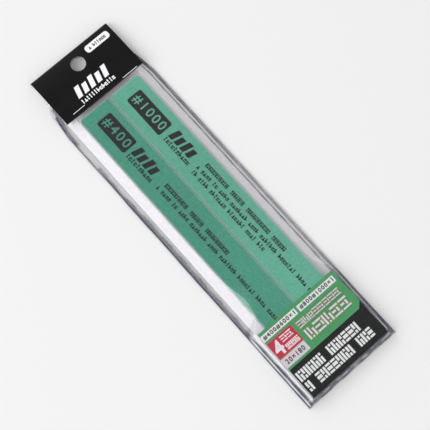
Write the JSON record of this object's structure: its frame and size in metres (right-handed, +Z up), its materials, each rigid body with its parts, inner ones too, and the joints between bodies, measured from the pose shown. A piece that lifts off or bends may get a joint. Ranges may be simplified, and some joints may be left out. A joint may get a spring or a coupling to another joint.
{
  "type": "sanding stick pack",
  "caption": "Hanging pack of double-sided sanding sticks on a folded insert card, in a clear film bag closed by a saddle header card with a round hang hole.",
  "frame": {"origin": "middle of the pack's footprint, on the surface that the pack lies on", "axes": "+X across the sticks from the coarse one to the fine one, +Y along the sticks towards the header card, +Z up out of the printed faces"},
  "size_m": [0.059, 0.224, 0.0058],
  "materials": {
    "clear_film": "clear gloss polypropylene film",
    "film_weld": "melted film bead",
    "black_card": "black gloss-laminated printed card",
    "tape": "double-sided tape",
    "white_card": "white coated card, printed in green, black and red on the label",
    "core_strip": "white polystyrene strip",
    "foam": "firm closed-cell foam",
    "adhesive": "pressure-sensitive adhesive film",
    "dark_green_abrasive": "coated abrasive paper, 400 grit",
    "light_green_abrasive": "coated abrasive paper, 1000 grit"
  },
  "bodies": {
    "bag": {"bag_back_film": "clear_film", "bag_front_film": "clear_film", "bag_left_weld": "film_weld", "bag_right_weld": "film_weld"},
    "header": {"header_card": "black_card", "header_front_tape": "tape", "header_back_tape": "tape"},
    "card": {"insert_card": "white_card"},
    "coarse_stick": {"coarse_core": "core_strip", "coarse_front_foam": "foam", "coarse_back_foam": "foam", "coarse_core_front_adhesive": "adhesive", "coarse_core_back_adhesive": "adhesive", "coarse_front_adhesive": "adhesive", "coarse_back_adhesive": "adhesive", "coarse_front_abrasive": "dark_green_abrasive", "coarse_back_abrasive": "dark_green_abrasive"},
    "fine_stick": {"fine_core": "core_strip", "fine_front_foam": "foam", "fine_back_foam": "foam", "fine_core_front_adhesive": "adhesive", "fine_core_back_adhesive": "adhesive", "fine_front_adhesive": "adhesive", "fine_back_adhesive": "adhesive", "fine_front_abrasive": "light_green_abrasive", "fine_back_abrasive": "light_green_abrasive"}
  },
  "joints": [
    {"name": "card_out", "type": "slide", "parent": "bag", "child": "card", "axis": [0, 1, 0], "range_m": [0, 0.216], "deforming": ["bag_front_film"]},
    {"name": "header_off", "type": "slide", "parent": "bag", "child": "header", "axis": [0, 1, 0], "range_m": [0, 0.27]},
    {"name": "coarse_stick_out", "type": "slide", "parent": "card", "child": "coarse_stick", "axis": [0, 1, 0], "range_m": [0, 0.04]},
    {"name": "fine_stick_out", "type": "slide", "parent": "card", "child": "fine_stick", "axis": [0, 1, 0], "range_m": [0, 0.04]}
  ],
  "couplings": [
    {"joint": "header_off", "follows": "card_out", "ratio": 1.25},
    {"joint": "coarse_stick_out", "follows": "card_out", "ratio": 0.185},
    {"joint": "fine_stick_out", "follows": "card_out", "ratio": 0.185}
  ]
}
